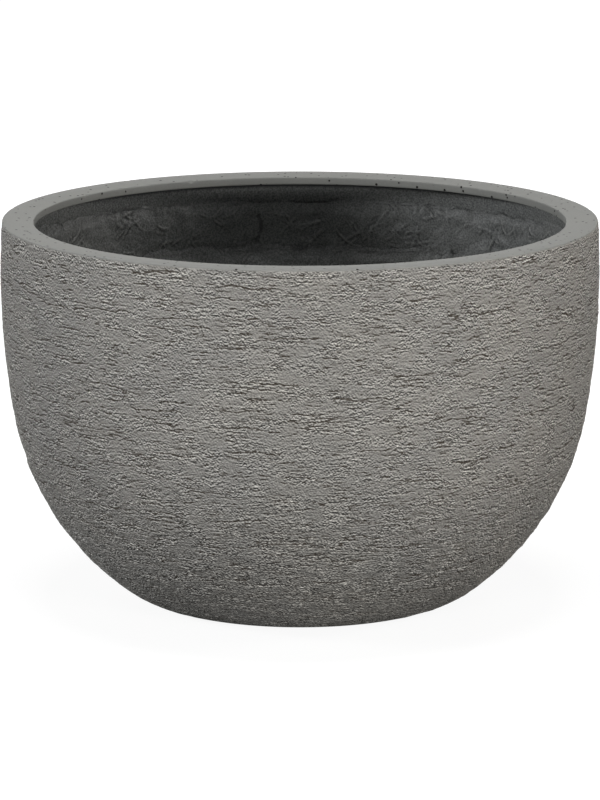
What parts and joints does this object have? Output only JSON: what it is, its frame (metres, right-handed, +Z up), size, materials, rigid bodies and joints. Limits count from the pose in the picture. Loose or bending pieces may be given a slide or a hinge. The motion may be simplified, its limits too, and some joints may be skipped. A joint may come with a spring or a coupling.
{
  "type": "floor planter",
  "caption": "Wide egg-shaped floor planter: a combed cast bowl with a smooth flat inturned rim, a glass-fibre lining, a lift-out drain plug and rubber floor pads.",
  "frame": {"origin": "on the floor, on the bowl's axis, under the centre of the underside", "axes": "+Z up along the bowl's axis; the bowl is round, and +X and +Y each point at a floor pad"},
  "size_m": [0.5999, 0.6, 0.388],
  "materials": {
    "cast_mortar": "matt warm-grey cast mortar, combed on the wall and smooth on the rim",
    "glass_laminate": "chopped-strand glass mat under a dark sealing coat",
    "plug_rubber": "matt black rubber",
    "pad_rubber": "matt dark rubber"
  },
  "bodies": {
    "bowl": {"shell": "cast_mortar", "upper_laminate": "glass_laminate", "bowl_laminate": "glass_laminate", "floor_pad_1": "pad_rubber", "floor_pad_2": "pad_rubber", "floor_pad_3": "pad_rubber", "floor_pad_4": "pad_rubber"},
    "plug": {"drain_plug": "plug_rubber"}
  },
  "joints": [
    {"name": "plug_lift", "type": "slide", "parent": "bowl", "child": "plug", "axis": [0, 0, 1], "range_m": [0, 0.42]}
  ]
}
